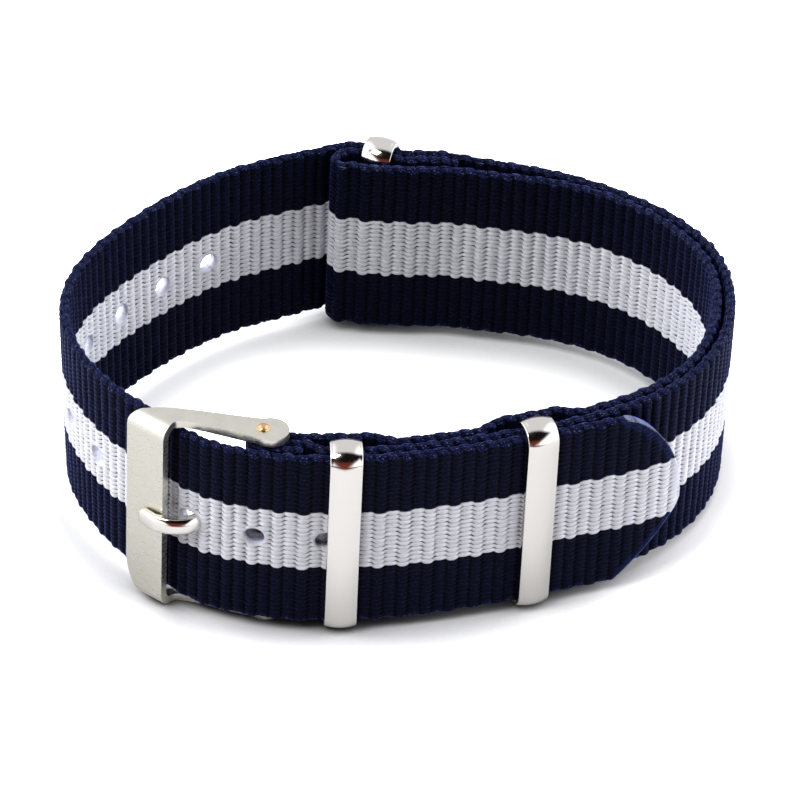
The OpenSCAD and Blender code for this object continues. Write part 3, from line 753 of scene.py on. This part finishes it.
shader.inputs["Sheen Weight"].default_value = nylon["sheen"]
shader.inputs["Sheen Roughness"].default_value = nylon["sheenRough"]
shader.inputs["Sheen Tint"].default_value = linearColour(nylon["sheenTone"])
for piece in strapPieces:
    piece.data.materials.append(webMat)


def metalMaterial(name, colour, rough, grain, relief):
    # roughness from 0.8 to 1.25 of rough and a fine bump, both by a noise whose scale is in waves per metre
    mat, tree, shader = newMaterial(name)
    place = addNode(tree, "Mapping", Vector=addNode(tree, "TexCoord").outputs["Object"], Scale=grain)
    lines = addNode(tree, "TexNoise", Vector=place, Scale=1.0, Detail=3.0)
    ramp = addNode(tree, "MapRange", Value=lines, From_Min=0.3, From_Max=0.7,
                   To_Min=rough * 0.8, To_Max=rough * 1.25)
    bump = addNode(tree, "Bump", Strength=relief, Distance=0.00002, Height=lines)
    shader.inputs["Base Color"].default_value = linearColour(colour)
    shader.inputs["Metallic"].default_value = 1
    tree.links.new(ramp.outputs[0], shader.inputs["Roughness"])
    tree.links.new(bump.outputs[0], shader.inputs["Normal"])
    return mat


# stainless strip, brushed lightly along the arms: a soft, even grey with a faint grain
satinSteel = metalMaterial("satinStainlessSteel", "#d9d6c9", 0.3, (900, 900, 6000), 0.05)
# nickel-plated and buffed: mirror-like, slightly warm, with faint haze
polishedSteel = metalMaterial("buffedNickelPlate", "#e1ddd5", 0.11, (1500, 1500, 1500), 0.05)
# brass rod end, peened to a low dome: warm, with small dimples
brass = metalMaterial("peenedBrass", "#e0b584", 0.2, (3000, 3000, 3000), 0.2)

buckleOff = mainOff(keepers["buckle"]) + lap / 2
tailKeeperOff = mainOff(keepers["tail"]) + lap / 2
endOff = mainOff(keepers["end"]) - lap / 2 + keepers["endShift"]
metalPieces = (
    (bevelledCopy("buckle_frame", "buckleFrame", 0.13), "buckle_frame", "buckle", "frame_steel", satinSteel),
    (tangRod("buckleTang"), "buckle_tang", "tang", "tang_steel", polishedSteel),
    (keeperRing("buckleSideKeeper", keepers["buckle"], buckleOff, 0),
     "buckle_keeper", "buckle_side_keeper", "keeper_steel", polishedSteel),
    (keeperRing("tailSideKeeper", keepers["tail"], tailKeeperOff, 0),
     "tail_keeper", "tail_side_keeper", "keeper_steel", polishedSteel),
    (keeperRing("endSideKeeper", keepers["end"], endOff, keepers["swing"]),
     "end_keeper", "end_side_keeper", "keeper_steel", polishedSteel))
for piece, node, body, slotName, mat in metalPieces:
    low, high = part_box(node)
    piece.data.materials.append(mat)
    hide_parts(node)
    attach(piece, body)
    corners = np.empty(3 * len(piece.data.vertices), np.float32)
    piece.data.vertices.foreach_get("co", corners)
    corners = corners.reshape(-1, 3)
    print(piece.name, ((corners.min(0) - low) / mm).round(2), ((corners.max(0) - high) / mm).round(2))
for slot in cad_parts["buckle_pin"].material_slots:
    slot.material = brass

# white paper, and a room that is bright at both sides and dim in front, where polished metal shows a dark
# patch; sizes in metres
print("studio")
studio = {"floor": "#dadbdc", "bounce": "#b4b5b7", "reach": 4, "rough": 0.9, "specular": 0.1,
          "floorGain": 1.2, "floorLift": 0.05, "backLift": 0.85, "contact": 0.012, "contactInMirror": 0.45,
          "around": 0.34, "right": 5.6, "left": 4.8, "mirror": 0.85, "mirrorMost": 1.7, "dim": 0.05,
          "blue": 1.06, "room": "#0c0a0a", "roomLow": "#7a3a2c"}
softLamp = {"watts": 6.8, "size": 0.4, "at": (-0.5, -0.45, 0.95)}
reach = studio["reach"]
floorMesh = bpy.data.meshes.new("studioFloor")
floorMesh.from_pydata([(-reach, -reach, 0), (reach, -reach, 0), (reach, reach, 0), (-reach, reach, 0)],
                      [], [(0, 1, 2, 3)])
floor = bpy.data.objects.new("studioFloor", floorMesh)
bpy.context.scene.collection.objects.link(floor)
floorMat, tree, shader = newMaterial("whitePaperFloor")
shader.inputs["Roughness"].default_value = studio["rough"]
shader.inputs["Specular IOR Level"].default_value = studio["specular"]
rays = addNode(tree, "LightPath").outputs
onCamera = rays["Is Camera Ray"]
# the paper throws a little less light back at cloth than its own tone would
paper = addNode(tree, "Mix", mixColour, Factor=rays["Is Diffuse Ray"],
                A=linearColour(studio["floor"]), B=linearColour(studio["bounce"]))
tree.links.new(paper.outputs[2], shader.inputs["Base Color"])
# the camera alone sees it brighter, by a share of the light on it and by a lift that grows towards the back
moreShare = addNode(tree, "Math", multiply, i0=onCamera, i1=studio["floorGain"])
moreColour = addNode(tree, "CombineColor", Red=moreShare, Green=moreShare, Blue=moreShare)
more = addNode(tree, "BsdfDiffuse", Color=moreColour)
spotHere = addNode(tree, "SeparateXYZ", Vector=addNode(tree, "TexCoord").outputs["Object"]).outputs
behind = addNode(tree, "Math", multiplyAdd, i0=spotHere["X"], i1=0.5, i2=spotHere["Y"])
liftHere = addNode(tree, "MapRange", smooth, Value=behind, From_Min=-0.026, From_Max=-0.006,
                   To_Min=studio["floorLift"], To_Max=studio["backLift"])
liftSeen = addNode(tree, "Math", multiply, i0=onCamera, i1=liftHere)
lift = addNode(tree, "Emission", Color=(1, 1, 1, 1), Strength=liftSeen)
bright = addNode(tree, "AddShader", i0=shader.outputs[0], i1=addNode(tree, "AddShader", i0=more, i1=lift))
# contact shadow: darker by 1 - open^2, open being the share of the directions in which nothing is near
nearby = addNode(tree, "AmbientOcclusion", {"samples": 16}, Distance=studio["contact"]).outputs["AO"]
contact = addNode(tree, "Math", {"operation": "POWER"}, i0=nearby, i1=2.0)
hidden = addNode(tree, "Math", subtract, i0=1.0, i1=contact)
seen = addNode(tree, "Math", {"operation": "MULTIPLY_ADD", "use_clamp": True},
               i0=rays["Is Glossy Ray"], i1=studio["contactInMirror"], i2=onCamera)
seenDark = addNode(tree, "Math", multiply, i0=hidden, i1=seen)
black = addNode(tree, "BsdfDiffuse", Color=(0.0, 0.0, 0.0, 1.0))
total = addNode(tree, "MixShader", i0=seenDark, i1=bright, i2=black)
# polished metal sees the paper end in front, and the dark room beyond it
ahead = addNode(tree, "Math", multiply, i0=spotHere["Y"], i1=-1.0)
aside = addNode(tree, "Math", absolute, i0=spotHere["X"])
farAhead = addNode(tree, "Math", multiplyAdd, i0=aside, i1=-1.0, i2=ahead)
farAhead = addNode(tree, "MapRange", smooth, Value=farAhead, From_Min=0.055, From_Max=0.16)
farAhead = addNode(tree, "Math", multiply, i0=farAhead, i1=rays["Is Glossy Ray"])
roomSeen = addNode(tree, "Emission", Color=linearColour(studio["roomLow"]), Strength=1.0)
total = addNode(tree, "MixShader", i0=farAhead, i1=total, i2=roomSeen)
tree.links.new(total.outputs[0], tree.nodes["Material Output"].inputs["Surface"])
floorMesh.materials.append(floorMat)

world = bpy.data.worlds.new("studioWorld")
bpy.context.scene.world = world
world.use_nodes = True
tree = world.node_tree
rays = addNode(tree, "LightPath").outputs
look = addNode(tree, "SeparateXYZ", Vector=addNode(tree, "TexCoord").outputs["Generated"]).outputs
onMirror = rays["Is Glossy Ray"]
# two bright sides over an even level; the front is dim for cloth alone, and what metal sees has a limit
right = addNode(tree, "MapRange", smooth, Value=look["X"], From_Min=0.3, From_Max=0.9, To_Max=studio["right"])
left = addNode(tree, "MapRange", smooth, Value=look["X"], From_Min=-0.3, From_Max=-0.9, To_Max=studio["left"])
sides = addNode(tree, "Math", add, i0=right, i1=left)
base = addNode(tree, "Mix", Factor=onMirror, A=studio["around"], B=studio["mirror"])
whole = addNode(tree, "Math", add, i0=sides, i1=base)
lowFront = addNode(tree, "MapRange", smooth, Value=look["Y"], From_Min=0.0, From_Max=-0.6,
                   To_Min=1.0, To_Max=studio["dim"])
matt = addNode(tree, "Mix", Factor=onMirror, A=lowFront, B=1.0)
level = addNode(tree, "Math", multiply, i0=whole, i1=matt)
capped = addNode(tree, "Math", {"operation": "MINIMUM"}, i0=level, i1=studio["mirrorMost"])
level = addNode(tree, "Mix", Factor=onMirror, A=level, B=capped)
blueLevel = addNode(tree, "Math", multiply, i0=level, i1=studio["blue"])
sky = addNode(tree, "CombineColor", Red=level, Green=level, Blue=blueLevel)
# the dark patch in front grows wider upwards, and low down it is redder
ahead = addNode(tree, "MapRange", smooth, Value=look["Y"], From_Min=0.0, From_Max=-0.3)
aside = addNode(tree, "Math", absolute, i0=look["X"])
narrow = addNode(tree, "Math", multiplyAdd, i0=look["Z"], i1=-0.7, i2=aside)
narrow = addNode(tree, "MapRange", smooth, Value=narrow, From_Min=0.35, From_Max=0.1)
high = addNode(tree, "MapRange", smooth, Value=look["Z"], From_Min=0.25, From_Max=0.6)
patch = addNode(tree, "Math", multiply, i0=ahead, i1=narrow)
roomColour = addNode(tree, "Mix", mixColour, Factor=high,
                     A=linearColour(studio["roomLow"]), B=linearColour(studio["room"]))
light = addNode(tree, "Mix", mixColour, Factor=patch, A=sky, B=roomColour)
light = addNode(tree, "Mix", mixColour, Factor=rays["Is Camera Ray"], A=light, B=(1.0, 1.0, 1.0, 1.0))
tree.links.new(light.outputs[2], tree.nodes["Background"].inputs["Color"])

lamp = bpy.data.lights.new("topSoftbox", "AREA")
lamp.energy = softLamp["watts"]
lamp.size = softLamp["size"]
softbox = bpy.data.objects.new("topSoftbox", lamp)
place = Vector(softLamp["at"])
softbox.matrix_world = Matrix.Translation(place) @ (place - aim).to_track_quat("Z", "Y").to_matrix().to_4x4()
bpy.context.scene.collection.objects.link(softbox)
bpy.context.scene.view_settings.view_transform = "Standard"
